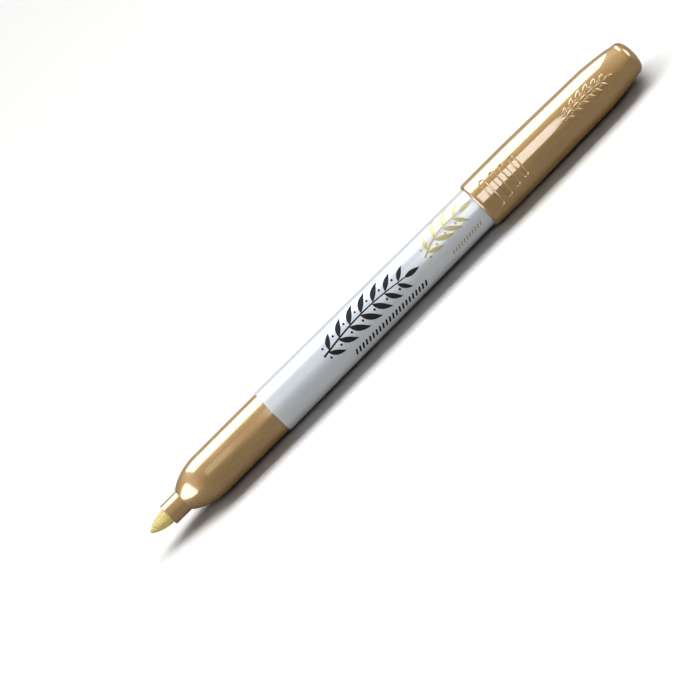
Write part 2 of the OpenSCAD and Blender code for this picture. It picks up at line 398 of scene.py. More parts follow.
@dataclass(frozen=True)
class Stroke:
    """A pen stroke: its path as (along, across) points and its half-width at each of them."""

    path: np.ndarray
    half: np.ndarray

    def placed(
        self, along: float, across: float, turn: float = 0.0, scale: float = 1.0
    ) -> "Stroke":
        """Gives the stroke at another place.

        Args:
            along: Distance it moves along the marker.
            across: Distance it moves round it.
            turn: Angle it is turned by first, in degrees.
            scale: Scale of its path and its width.

        Returns:
            The placed stroke.
        """
        c, s = math.cos(math.radians(turn)), math.sin(math.radians(turn))
        path = self.path @ np.array([[c, s], [-s, c]]) * scale + (along, across)
        return Stroke(path, self.half * scale)


def leaf(length: float, width: float, angle: float, bend: float = 0.0) -> Stroke:
    """Gives a pointed leaf.

    Args:
        length: Its length.
        width: Its greatest width.
        angle: Angle it points along, in degrees.
        bend: How far it turns from its foot to its tip, in degrees.

    Returns:
        The leaf, with its foot at 0.
    """
    t = np.linspace(0, 1, 36)
    turn = np.radians(angle + bend * (t - 0.3))
    path = np.cumsum(np.stack([np.cos(turn), np.sin(turn)], axis=1), axis=0) * length / len(t)
    belly = np.sin(math.pi * t**0.85)
    return Stroke(path, width / 2 * np.maximum(belly, POINT))


def dash(length: float, width: float, angle: float) -> Stroke:
    """Gives a short bar with round ends at an angle in degrees."""
    t = np.linspace(0, 1, 14)[:, None]
    way = np.array([math.cos(math.radians(angle)), math.sin(math.radians(angle))])
    end = np.minimum(t[:, 0], 1 - t[:, 0]) * length
    half = width / 2 * np.sqrt(np.clip(end / (width / 2), POINT, 1))
    return Stroke(way * length * t, half)


@dataclass(frozen=True)
class Branch:
    """A leafy branch: a bowed stem with pairs of leaves, berries beside them and a leaf at its tip.

    The spread, the bend of a leaf and the tip's angle are in degrees.
    """

    length: float
    pairs: int
    leaf_length: float = 5.3
    leaf_width: float = 1.45
    spread: float = 50.0
    bend: float = 26.0
    stagger: float = 0.25
    bow: float = 1.1
    stem: float = 0.42
    berry_length: float = 0.62
    berry_width: float = 0.6
    berry_back: float = 0.55
    berry_reach: float = 1.05
    tip_scale: float = 0.8
    tip_angle: float = -8.0
    tip_overlap: float = 0.2

    def strokes(self) -> list[Stroke]:
        """Draws the branch from its foot.

        Returns:
            The strokes.
        """
        t = np.linspace(0, 1, 160)
        path = np.stack([self.length * t, self.bow * np.sin(math.pi * t)], axis=1)
        out = [Stroke(path, self.stem / 2 * (1.1 - 0.5 * t))]
        for i in range(self.pairs):
            share = (i + 0.45) / self.pairs
            foot = (self.length * share, self.bow * math.sin(math.pi * share))
            rise = self.bow * math.pi / self.length * math.cos(math.pi * share)
            slope = math.degrees(math.atan(rise))
            size = 1 - 0.3 * abs(2 * share - 0.9) ** 1.6
            for side in (1, -1):
                angle, bend = slope + side * self.spread, -side * self.bend
                shape = leaf(self.leaf_length * size, self.leaf_width * size, angle, bend)
                out.append(shape.placed(foot[0] + self.stagger * side, foot[1]))
                berry = dash(self.berry_length, self.berry_width, slope + side * 90)
                reach = side * self.berry_reach
                out.append(berry.placed(foot[0] - self.berry_back, foot[1] + reach))
        scale = self.tip_scale
        tip = leaf(self.leaf_length * scale, self.leaf_width * scale, self.tip_angle)
        out.append(tip.placed(self.length - self.tip_overlap, 0.0))
        return out

    def placed(
        self, along: float, across: float, turn: float = 0.0, scale: float = 1.0
    ) -> list[Stroke]:
        """Gives the strokes at a place, turned by degrees and scaled."""
        return [stroke.placed(along, across, turn, scale) for stroke in self.strokes()]


@dataclass(frozen=True)
class BarRow:
    """A row of slanted bars, which may drift sideways as it goes; the slant is in degrees."""

    along: float
    across: float
    pitch: float
    count: int
    length: float
    width: float
    drift: float = 0.0
    slant: float = 66.0

    def placed(self, start: float) -> list[Stroke]:
        """Gives the bars of the row, counted from a place along the marker."""
        bar = dash(self.length, self.width, self.slant)
        first, bars = start + self.along, range(self.count)
        return [bar.placed(first + self.pitch * i, self.across + self.drift * i) for i in bars]


def closeness(
    along: np.ndarray, across: np.ndarray, strokes: list[Stroke], soft: float
) -> np.ndarray:
    """Tells how far inside the strokes each place is.

    Args:
        along: Distances along the marker.
        across: Distances round it.
        strokes: The strokes.
        soft: Width of the slope at a stroke's edge.

    Returns:
        1 inside a stroke, 0 outside, and a smooth slope between.
    """
    best = np.zeros(along.shape)
    for stroke in strokes:
        for (x, y), half in zip(stroke.path, stroke.half):
            reach = np.hypot(along - x, across - y)
            best = np.maximum(best, np.clip((half + soft / 2 - reach) / soft, 0, 1))
    return best * best * (3 - 2 * best)


# Shader groups


class Bench:
    """A node tree with short ways to add and join nodes."""

    def __init__(self, tree: bpy.types.NodeTree) -> None:
        """Keeps the tree."""
        self.tree = tree

    def add(self, kind: str, inputs: dict | None = None, **settings: object) -> bpy.types.Node:
        """Adds a node.

        Args:
            kind: Blender's name of the node type.
            inputs: Socket name or number to a value, or to a socket that is linked to it.
            settings: Properties of the node.

        Returns:
            The node.
        """
        node = self.tree.nodes.new(kind)
        for name, value in settings.items():
            setattr(node, name, value)
        self.feed(node, inputs or {})
        return node

    def feed(self, node: bpy.types.Node, inputs: dict) -> None:
        """Sets or links the inputs of a node.

        Args:
            node: The node.
            inputs: Socket name or number to a value, or to a socket that is linked to it.
        """
        for key, value in inputs.items():
            if isinstance(value, bpy.types.NodeSocket):
                self.tree.links.new(value, node.inputs[key])
            else:
                node.inputs[key].default_value = value

    def math(self, operation: str, *values: object, clamp: bool = False) -> bpy.types.NodeSocket:
        """Adds a Math node and gives its result."""
        inputs = dict(enumerate(values))
        return self.add("ShaderNodeMath", inputs, operation=operation, use_clamp=clamp).outputs[0]

    def blend(
        self, share: object, first: object, second: object, kind: str = "MIX"
    ) -> bpy.types.NodeSocket:
        """Mixes two colours by a share and gives the result."""
        inputs = {0: share, 6: first, 7: second}
        return self.add("ShaderNodeMix", inputs, data_type="RGBA", blend_type=kind).outputs[2]

    def noise(
        self, place: object, scale: object, detail: float = 2.0, distortion: float = 0.0
    ) -> bpy.types.NodeSocket:
        """Adds a noise texture and gives its value."""
        inputs = {"Vector": place, "Scale": scale, "Detail": detail, "Distortion": distortion}
        return self.add("ShaderNodeTexNoise", inputs).outputs[0]

    def ramp(self, value: object, low: float, high: float) -> bpy.types.NodeSocket:
        """Maps low to 0 and high to 1 with a smooth slope and gives the result."""
        inputs = {"Value": value, "From Min": low, "From Max": high}
        node = self.add("ShaderNodeMapRange", inputs, interpolation_type="SMOOTHSTEP")
        return node.outputs[0]

    def stretched(self, along: float, across: float) -> bpy.types.NodeSocket:
        """Gives the object's own coordinates, scaled along and across the marker."""
        place = self.add("ShaderNodeTexCoord").outputs["Object"]
        inputs = {"Vector": place, "Scale": (along, across, across)}
        return self.add("ShaderNodeMapping", inputs).outputs[0]

    def bump(self, height: object, strength: float, distance: float) -> bpy.types.NodeSocket:
        """Turns a height into a normal."""
        inputs = {"Height": height, "Strength": strength, "Distance": distance}
        return self.add("ShaderNodeBump", inputs).outputs[0]


class GroupMaker:
    """Builds a shader group once and gives it again by name."""

    made: dict[str, bpy.types.NodeTree] = {}

    @classmethod
    def start(
        cls, name: str, inputs: dict[str, float], outputs: tuple[str, ...]
    ) -> tuple[Bench, bpy.types.Node, bpy.types.Node]:
        """Makes an empty group.

        Args:
            name: Name of the group.
            inputs: Name and default of each number that goes in.
            outputs: Names of the numbers that come out.

        Returns:
            The group's bench, its input node and its output node.
        """
        tree = bpy.data.node_groups.new(name, "ShaderNodeTree")
        for key, value in inputs.items():
            socket = tree.interface.new_socket(key, in_out="INPUT", socket_type="NodeSocketFloat")
            socket.default_value = value
        for key in outputs:
            tree.interface.new_socket(key, in_out="OUTPUT", socket_type="NodeSocketFloat")
        bench = Bench(tree)
        cls.made[name] = tree
        return bench, bench.add("NodeGroupInput"), bench.add("NodeGroupOutput")

    @classmethod
    def moulding(cls) -> bpy.types.NodeTree:
        """Gives the skin of a moulded piece: cloudy pigment, fine flakes and faint orange peel."""
        name = "Moulding"
        if name in cls.made:
            return cls.made[name]
        inputs = {"Cloud scale": 150.0, "Flake scale": 9000.0}
        bench, given, out = cls.start(name, inputs, ("Cloud", "Flake", "Peel"))
        flow, plain = bench.stretched(0.3, 1.0), bench.stretched(1.0, 1.0)
        cloud = bench.noise(flow, given.outputs["Cloud scale"], 3.0, 0.6)
        inputs = {"Vector": plain, "Scale": given.outputs["Flake scale"]}
        flake = bench.add("ShaderNodeTexVoronoi", inputs)
        bright = bench.add("ShaderNodeSeparateColor", {0: flake.outputs["Color"]})
        results = {
            "Cloud": bench.ramp(cloud, 0.3, 0.7),
            "Flake": bright.outputs[0],
            "Peel": bench.noise(plain, 900.0),
        }
        bench.feed(out, results)
        return bench.tree

    @classmethod
    def handling(cls) -> bpy.types.NodeTree:
        """Gives the traces of use: soft finger smudges, hairline scratches and rubbed corners."""
        name = "Handling"
        if name in cls.made:
            return cls.made[name]
        inputs = {"Scratch scale": 900.0}
        bench, given, out = cls.start(name, inputs, ("Smudge", "Scratch", "Rub"))
        smudge = bench.noise(bench.stretched(1.0, 1.6), 170.0, 4.0, 1.2)
        lines = bench.noise(bench.stretched(0.12, 1.0), given.outputs["Scratch scale"], 1.0)
        patch = bench.noise(bench.stretched(1.0, 1.0), 120.0)
        edge = bench.add("ShaderNodeAttribute", attribute_name="edge").outputs["Fac"]
        results = {
            "Smudge": bench.ramp(smudge, 0.42, 0.68),
            "Scratch": bench.math("MULTIPLY", bench.ramp(lines, 0.68, 0.74), patch),
            "Rub": bench.math("MULTIPLY", edge, bench.ramp(patch, 0.35, 0.65)),
        }
        bench.feed(out, results)
        return bench.tree

    @classmethod
    def fibre(cls) -> bpy.types.NodeTree:
        """Gives a bundle of fine fibres along the marker and blotches of ink on it."""
        name = "Fibre"
        if name in cls.made:
            return cls.made[name]
        inputs = {"Fibre scale": 5200.0, "Blotch scale": 1100.0}
        bench, given, out = cls.start(name, inputs, ("Strand", "Blotch"))
        strand = bench.noise(bench.stretched(0.14, 1.0), given.outputs["Fibre scale"], 3.0, 0.4)
        blotch = bench.noise(bench.stretched(0.6, 1.0), given.outputs["Blotch scale"], 4.0, 0.8)
        bench.feed(out, {"Strand": bench.ramp(strand, 0.35, 0.68)})
        bench.feed(out, {"Blotch": bench.ramp(blotch, 0.38, 0.64)})
        return bench.tree


# Finishes


def blank_material(name: str) -> tuple[bpy.types.Material, Bench, bpy.types.Node]:
    """Makes a material that has only its own shader.

    Args:
        name: Name of the material.

    Returns:
        The material, its bench and its shader.
    """
    material = bpy.data.materials.new(name)
    material.use_nodes = True
    return material, Bench(material.node_tree), material.node_tree.nodes["Principled BSDF"]


@dataclass(frozen=True)
class Plastic:
    """A moulded plastic: its colours, its gloss and how strongly each effect shows."""

    name: str
    base: Colour
    cloud: Colour
    rubbed: Colour
    roughness: float
    metallic: float = 0.0
    specular: float = 0.5
    coat: float = 0.0
    coat_roughness: float = 0.03
    coat_index: float = 1.5
    flake: float = 0.0
    smudge: float = 0.06
    rub: float = 0.55
    scratch: float = 0.15
    scratch_depth: float = 0.6
    peel: float = 0.03
    peel_distance: float = 0.0002
    subsurface: float = 0.0
    subsurface_scale: float = 0.0006
    subsurface_radius: tuple[float, float, float] = (1.0, 0.9, 0.8)

    def make(self) -> bpy.types.Material:
        """Builds the material.

        Returns:
            The material.
        """
        material, bench, shader = blank_material(self.name)
        skin = bench.add("ShaderNodeGroup", node_tree=GroupMaker.moulding())
        use = bench.add("ShaderNodeGroup", node_tree=GroupMaker.handling())
        colour = bench.blend(skin.outputs["Cloud"], self.base, self.cloud)
        if self.flake:
            glint = bench.math("SUBTRACT", skin.outputs["Flake"], 0.5)
            glint = bench.math("MULTIPLY_ADD", glint, self.flake, 1.0)
            grey = bench.add("ShaderNodeCombineColor", {0: glint, 1: glint, 2: glint})
            colour = bench.blend(1.0, colour, grey.outputs[0], "MULTIPLY")
        rub = bench.math("MULTIPLY", use.outputs["Rub"], self.rub)
        rough = bench.math("MULTIPLY_ADD", use.outputs["Smudge"], self.smudge, self.roughness)
        peel, depth = skin.outputs["Peel"], -self.scratch_depth
        height = bench.math("MULTIPLY_ADD", use.outputs["Scratch"], depth, peel)
        inputs = {
            "Base Color": bench.blend(rub, colour, self.rubbed),
            "Roughness": bench.math(
                "MULTIPLY_ADD", use.outputs["Scratch"], self.scratch, rough, clamp=True
            ),
            "Normal": bench.bump(height, self.peel, self.peel_distance),
            "Metallic": self.metallic,
            "Specular IOR Level": self.specular,
            "Coat Weight": self.coat,
            "Coat Roughness": self.coat_roughness,
            "Coat IOR": self.coat_index,
        }
        if self.subsurface:
            inputs["Subsurface Weight"] = self.subsurface
            inputs["Subsurface Scale"] = self.subsurface_scale
            inputs["Subsurface Radius"] = self.subsurface_radius
        bench.feed(shader, inputs)
        return material


@dataclass(frozen=True)
class Fibre:
    """Pressed or bonded fibre, wet with ink."""

    name: str
    dark: Colour
    light: Colour
    ink: Colour
    roughness: float
    relief: float
    scale: float
    relief_distance: float = 0.0001
    wetness: float = 0.7
    wet_gloss: float = 0.2
    sheen: float = 0.2

    def make(self) -> bpy.types.Material:
        """Builds the material.

        Returns:
            The material.
        """
        material, bench, shader = blank_material(self.name)
        scales = {"Fibre scale": self.scale, "Blotch scale": self.scale / 4}
        group = bench.add("ShaderNodeGroup", scales, node_tree=GroupMaker.fibre())
        strand, blotch = group.outputs["Strand"], group.outputs["Blotch"]
        colour = bench.blend(strand, self.dark, self.light)
        wet = bench.math("MULTIPLY", blotch, self.wetness)
        inputs = {
            "Base Color": bench.blend(wet, colour, self.ink),
            "Roughness": bench.math("MULTIPLY_ADD", blotch, -self.wet_gloss, self.roughness),
            "Normal": bench.bump(strand, self.relief, self.relief_distance),
            "Sheen Weight": self.sheen,
        }
        bench.feed(shader, inputs)
        return material


class Finish(Enum):
    """The finishes of the marker."""

    CAP_GOLD = Plastic(
        "cap_gold",
        base=(0.3, 0.184, 0.066, 1),
        cloud=(0.335, 0.208, 0.078, 1),
        rubbed=(0.5, 0.37, 0.2, 1),
        roughness=0.42,
        metallic=0.15,
        specular=0.3,
        coat=1.0,
        coat_roughness=0.034,
        coat_index=1.6,
        flake=0.22,
    )
    GRIP_GOLD = Plastic(
        "grip_gold",
        base=(0.305, 0.188, 0.07, 1),
        cloud=(0.34, 0.212, 0.084, 1),
        rubbed=(0.5, 0.37, 0.2, 1),
        roughness=0.38,
        metallic=0.15,
        specular=0.3,
        coat=1.0,
        coat_roughness=0.09,
        coat_index=1.6,
        flake=0.22,
        smudge=0.1,
    )
    PALE_GREY = Plastic(
        "pale_grey",
        base=(0.525, 0.575, 0.645, 1),
        cloud=(0.55, 0.6, 0.665, 1),
        rubbed=(0.75, 0.76, 0.8, 1),
        roughness=0.34,
        coat=0.6,
        coat_roughness=0.05,
        subsurface=0.08,
    )
    LINER = Plastic(
        "liner_white",
        base=(0.66, 0.66, 0.63, 1),
        cloud=(0.7, 0.7, 0.67, 1),
        rubbed=(0.7, 0.7, 0.7, 1),
        roughness=0.5,
        subsurface=0.15,
    )
    FILM = Plastic(
        "film",
        base=(0.62, 0.64, 0.66, 1),
        cloud=(0.7, 0.71, 0.72, 1),
        rubbed=(0.7, 0.7, 0.7, 1),
        roughness=0.2,
        coat=0.5,
    )
    BLACK_INK = Plastic(
        "black_ink",
        base=(0.012, 0.013, 0.016, 1),
        cloud=(0.02, 0.021, 0.025, 1),
        rubbed=(0.05, 0.05, 0.055, 1),
        roughness=0.8,
        specular=0.08,
    )
    GOLD_INK = Plastic(
        "gold_ink",
        base=(0.33, 0.295, 0.13, 1),
        cloud=(0.4, 0.355, 0.17, 1),
        rubbed=(0.5, 0.46, 0.27, 1),
        roughness=0.45,
        metallic=0.2,
        specular=0.3,
        flake=0.2,
    )
    NIB = Fibre(
        "nib_fibre",
        dark=(0.46, 0.36, 0.07, 1),
        light=(0.86, 0.75, 0.3, 1),
        ink=(0.7, 0.59, 0.15, 1),
        roughness=0.62,
        relief=0.8,
        scale=5200.0,
    )
    CORE = Fibre(
        "core_fibre",
        dark=(0.42, 0.33, 0.12, 1),
        light=(0.7, 0.6, 0.32, 1),
        ink=(0.5, 0.4, 0.14, 1),
        roughness=0.8,
        relief=0.6,
        scale=3200.0,
    )

    def dress(self, piece: bpy.types.Object) -> None:
        """Gives a piece this finish, building it the first time.

        Args:
            piece: The piece.
        """
        name = self.value.name
        material = bpy.data.materials.get(name) or self.value.make()
        piece.data.materials.clear()
        piece.data.materials.append(material)


def join_body(piece: bpy.types.Object, finish: Finish, body: str, slot: str, *nodes: str) -> None:
    """Dresses a piece, ties it to a body and hides the nodes it stands for.

    Args:
        piece: The piece.
        finish: Its finish.
        body: The body it moves with.
        slot: The record's material slot. It is not used.
        nodes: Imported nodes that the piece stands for.
    """
    finish.dress(piece)
    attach(piece, body)
    if nodes:
        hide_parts(*nodes)
    LOG.info("%s rides on %s with %d faces", piece.name, body, len(piece.data.polygons))


def dress_packed(name: str, finish: Finish) -> None:
    """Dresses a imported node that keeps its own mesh."""
    finish.dress(frame["nodes"][name])
    LOG.info("%s keeps its packed mesh", name)


# Sub-assemblies


@dataclass
class Writer:
    """The front of the marker: the fibre nib and the gold section that holds it."""

    layout: Layout
    nib_radius: float = 1.9
    point_radius: float = 0.24
    curve_length: float = 5.3
    nib_length: float = 40.5
    tail_cone: float = 2.0
    tail_point: float = 0.5
    fibre_depth: float = 0.02
    fibre_waves: int = 14
    nib_steps: int = 220
    tube_length: float = 4.8
    collar_step: float = 0.26
    shoulder_length: float = 8.2
    spigot_radius: float = 4.6
    spigot_length: float = 10.0
    chamber_radius: float = 3.85
    neck_radius: float = 3.2
    neck_start: float = 3.0
    core_lead: float = 4.8
    bore_length: float = 11.5
    vent_width: float = 0.5
    vent_depth: float = 0.3
    vent_count: int = 4
    vent_stop: float = 0.5
    section_steps: int = 240

    def nib(self) -> bpy.types.Object:
        """Builds the nib with fine grooves between its fibres.

        Returns:
            The nib.
        """
        x, point, radius = self.layout.nib, self.point_radius, self.nib_radius
        end = x + self.nib_length
        curve = rising_arc(x + 0.1, point + 0.06, x + self.curve_length, radius, 60)
        corners = [(x, 0.0), (x + 0.015, point * 0.6), *curve]
        corners += [(end - self.tail_cone, radius), (end, self.tail_point), (end, 0.0)]
        rows = outline(corners, 0.05)
        angles = even_angles(self.nib_steps)
        rng = np.random.default_rng(7)
        lift = np.zeros((len(rows), len(angles)))
        ahead = rows[:, :1] - x
        for count in rng.integers(24, 90, self.fibre_waves):
            slow = ahead * rng.uniform(-0.5, 0.5) + rng.uniform(0, 6.3)
            lift += np.sin(count * angles[None, :] + slow + 0.6 * np.sin(2.1 * ahead + count))
        lift *= self.fibre_depth / 5 * np.clip(rows[:, 1:2] / radius, 0, 1)
        return lathe("nib_point", self.layout, rows, angles, lift)

    def section(self) -> bpy.types.Object:
        """Builds the section: the nib's tube, the step, the shoulder, the grip and the spigot.

        Returns:
            The section.
        """
        place = self.layout
        front, rear = place.tube, place.barrel
        shoulder = front + self.tube_length
        grip = shoulder + self.shoulder_length
        neck = front + self.bore_length
        collar = place.tube_radius + self.collar_step
        corners = [
            (neck, self.nib_radius),
            (front, self.nib_radius, 0.06),
            (front, place.tube_radius, 0.16),
            (shoulder, place.tube_radius, 0.08),
            (shoulder, collar, 0.12),
            *rising_arc(shoulder, collar, grip, place.grip_radius)[1:],
            (rear, place.grip_radius, 0.07),
            (rear, self.spigot_radius, 0.0),
            (rear + self.spigot_length, self.spigot_radius, 0.3),
            (rear + self.spigot_length, self.chamber_radius, 0.0),
            (rear - self.core_lead, self.chamber_radius, 0.0),
            (rear - self.core_lead, self.neck_radius, 0.0),
            (grip + self.neck_start, self.neck_radius, 0.0),
        ]
        rows = outline(corners)
        angles = even_angles(self.section_steps)
        bore = (rows[:, 1] < self.nib_radius + 0.08) & (rows[:, 0] < neck - self.vent_stop)
        first = place.below + math.pi / 4
        notch = spokes(angles, self.nib_radius, self.vent_width, first, self.vent_count)
        lift = bore[:, None] * notch[None, :] * self.vent_depth
        return lathe("grip_section", place, rows, angles, lift)

    def build(self) -> None:
        """Builds and dresses the nib and the section."""
        join_body(self.nib(), Finish.NIB, "marker", "nib", "nib")
        join_body(self.section(), Finish.GRIP_GOLD, "marker", "gold_plastic", "front_section")


@dataclass
class Barrel:
    """The pale barrel, its tail plug, the reservoir inside and the printing on it."""

    layout: Layout
    wall: float = 1.1
    tail_radius: float = 5.0
    bevel: float = 0.4
    skirt_length: float = 6.0
    skirt_wall: float = 0.9
    dish_rim: float = 1.4
    dish_slope: float = 0.3
    dish_depth: float = 0.25
    blade: float = 1.0
    overlap: float = 0.2
    post_radius: float = 1.82
    core_gap: float = 4.6
    core_radius: float = 3.77
    socket_length: float = 10.2
    socket_step: float = 0.15
    rib_lead: float = 12.0
    rib_width: float = 0.8
    rib_count: int = 6
    rib_end: float = 0.05
    tube_steps: int = 240
    plug_steps: int = 160
    post_steps: int = 64
    ink_thickness: float = 0.016
    ink_layer: float = 0.0008

    @property
    def skirt_radius(self) -> float:
        """Gives the outer radius of the plug's skirt."""
        return self.tail_radius - self.wall + 0.05

    def radius(self, x: np.ndarray) -> np.ndarray:
        """Gives the barrel's outer radius at distances along the marker."""
        place = self.layout
        share = (x - place.barrel) / (place.plug_end - place.barrel)
        return place.barrel_radius + (self.tail_radius - place.barrel_radius) * share

    def tube(self) -> bpy.types.Object:
        """Builds the barrel's tube, with the ribs inside that steady the reservoir.

        Returns:
            The tube.
        """
        place = self.layout
        front, rear = place.barrel, place.tail
        socket, skirt = self.radius(front) - self.wall, self.skirt_radius
        deep, shallow = rear - self.skirt_length, front + self.socket_length
        start, end = front + self.rib_lead, deep - self.core_gap
        ends = (end + self.rib_end, end, start, start - self.rib_end)
        slope = (skirt - socket + self.socket_step) / (deep - shallow)
        corners = [
            (shallow, socket, 0.0),
            (front, socket, 0.0),
            (front, self.radius(front), 0.2),
            (rear, self.radius(rear), 0.08),
            (rear, skirt, 0.0),
            (deep, skirt, 0.0),
            *((x, skirt + (x - deep) * slope, 0.0) for x in ends),
            (shallow, socket - self.socket_step, 0.0),
        ]
        rows = denser(outline(corners), front, rear, 4.0)
        angles = even_angles(self.tube_steps)
        inner = rows[:, 1] < self.radius(rows[:, 0]) - self.wall / 2
        ribbed = inner & (np.abs(rows[:, 0] - (start + end) / 2) < (end - start + self.rib_end) / 2)
        height = np.where(ribbed, rows[:, 1] - self.core_radius, 0.0)
        ribs = spokes(angles, self.core_radius, self.rib_width, place.below, self.rib_count)
        return lathe("barrel_tube", place, rows, angles, -height[:, None] * ribs[None, :])

    def plug(self) -> bpy.types.Object:
        """Builds the plug that closes the tail, with a shallow dish in its end.

        Returns:
            The plug.
        """
        place = self.layout
        plate, end = place.tail, place.plug_end
        skirt, start = self.skirt_radius, place.tail - self.skirt_length
        dish = self.tail_radius - self.dish_rim
        corners = [
            (plate, 0.0),
            (plate, skirt - self.skirt_wall, 0.0),
            (start, skirt - self.skirt_wall, 0.1),
            (start, skirt, 0.1),
            (plate, skirt, 0.0),
            (plate, self.radius(plate), 0.05),
            (end, self.tail_radius, self.bevel),
            (end, dish, 0.1),
            (end - self.dish_depth, dish - self.dish_slope, 0.1),
            (end - self.dish_depth, 0.0),
        ]
        return lathe("tail_plug_cover", place, outline(corners), even_angles(self.plug_steps))

    def blades(self) -> bpy.types.Object:
        """Builds the crossed blades in the plug's skirt.

        Returns:
            The blades.
        """
        place, half = self.layout, self.blade / 2
        reach = self.skirt_radius - self.skirt_wall + self.overlap
        tip, lean = math.hypot(reach, half), math.atan2(half, reach)
        points = []
        for x in (place.tail - self.skirt_length, place.tail + self.overlap):
            for quarter in place.below + even_angles(4):
                radii = np.array([tip, tip, half * math.sqrt(2)])
                points.extend(place.place(x, radii, quarter + np.array([-lean, lean, math.pi / 4])))
        count = len(points) // 2
        faces = bands(2, count)
        for end in (0, count):
            faces.append(tuple(range(end + 2, end + count, 3)))
            for k in range(0, count, 3):
                faces.append((end + k, end + k + 1, end + k + 2, end + (k - 1) % count))
        return new_object("tail_plug_blades", np.array(points), faces)

    def post(self) -> bpy.types.Object:
        """Builds the post on the blades that holds the reservoir forward.

        Returns:
            The post.
        """
        rear = self.layout.tail + self.overlap
        front = self.layout.tail - self.skirt_length - self.core_gap
        radius = self.post_radius
        rows = outline([(front, 0.0), (front, radius, 0.2), (rear, radius), (rear, 0.0)])
        return lathe("tail_plug_post", self.layout, rows, even_angles(self.post_steps))

    def ornament(self, name: str, strokes: list[Stroke]) -> bpy.types.Object:
        """Lays strokes of ink on the barrel as thin closed ribbons, each a little above the last.

        Args:
            name: Name of the piece.
            strokes: Strokes by distance along the marker and round the barrel.

        Returns:
            The ink.
        """
        points, faces = [], []
        for number, stroke in enumerate(strokes):
            step = np.gradient(stroke.path, axis=0)
            step /= np.maximum(np.linalg.norm(step, axis=1, keepdims=True), 1e-9)
            normal = np.stack([-step[:, 1], step[:, 0]], axis=1)
            sides = [stroke.path + normal * (stroke.half * s)[:, None] for s in (-1, 0, 1)]
            start, count = len(points), len(stroke.path)
            for level in (self.ink_thickness + self.ink_layer * number, -self.ink_thickness):
                for side in sides:
                    along, across = side.T
                    radius = self.radius(along)
                    points.extend(self.layout.place(along, radius + level, across / radius))
            ring = [start + k * count for k in (0, 1, 2, 5, 4, 3)]
            for i in range(count - 1):
                for a, b in zip(ring, ring[1:] + ring[:1]):
                    faces.append((a + i, b + i, b + i + 1, a + i + 1))
            faces.append(tuple(ring[::-1]))
            faces.append(tuple(r + count - 1 for r in ring))
        piece = new_object(name, np.array(points), faces)
        piece.data.set_sharp_from_angle(angle=INK_CREASE)
        return piece

    def black_strokes(self) -> list[Stroke]:
        """Draws the black ornament: a long branch above a row of slanted bars.

        Returns:
            The strokes.
        """
        start = self.layout.barrel + 16.6
        branch = Branch(length=24.8, pairs=7)
        row = BarRow(along=5.6, across=-5.1, pitch=1.02, count=22, length=1.75, width=0.46)
        return branch.placed(start, 0.35) + row.placed(start)

    def gold_strokes(self) -> list[Stroke]:
        """Draws the gold ornament: a short branch that rises above a row of slanted bars.

        Returns:
            The strokes.
        """
        start = self.layout.rim - 16.5
        branch = Branch(length=12.4, pairs=4, leaf_length=5.2, leaf_width=1.2, spread=48)
        row = BarRow(
            along=5.2, across=-4.3, pitch=0.86, count=11, length=1.3, width=0.34, drift=0.06
        )
        return branch.placed(start, 0.2, turn=9) + row.placed(start)

    def build(self) -> None:
        """Builds and dresses the barrel and what belongs to it."""
        join_body(self.tube(), Finish.PALE_GREY, "marker", "pale_plastic", "barrel")
        join_body(self.plug(), Finish.GRIP_GOLD, "marker", "gold_plastic", "tail_plug")
        for piece in (self.blades(), self.post()):
            join_body(piece, Finish.GRIP_GOLD, "marker", "gold_plastic")
        black = self.ornament("black_ornament", self.black_strokes())
        join_body(black, Finish.BLACK_INK, "marker", "pale_plastic")
        gold = self.ornament("gold_ornament", self.gold_strokes())
        join_body(gold, Finish.GOLD_INK, "marker", "pale_plastic")
        dress_packed("reservoir_core", Finish.CORE)
        dress_packed("reservoir_film", Finish.FILM)


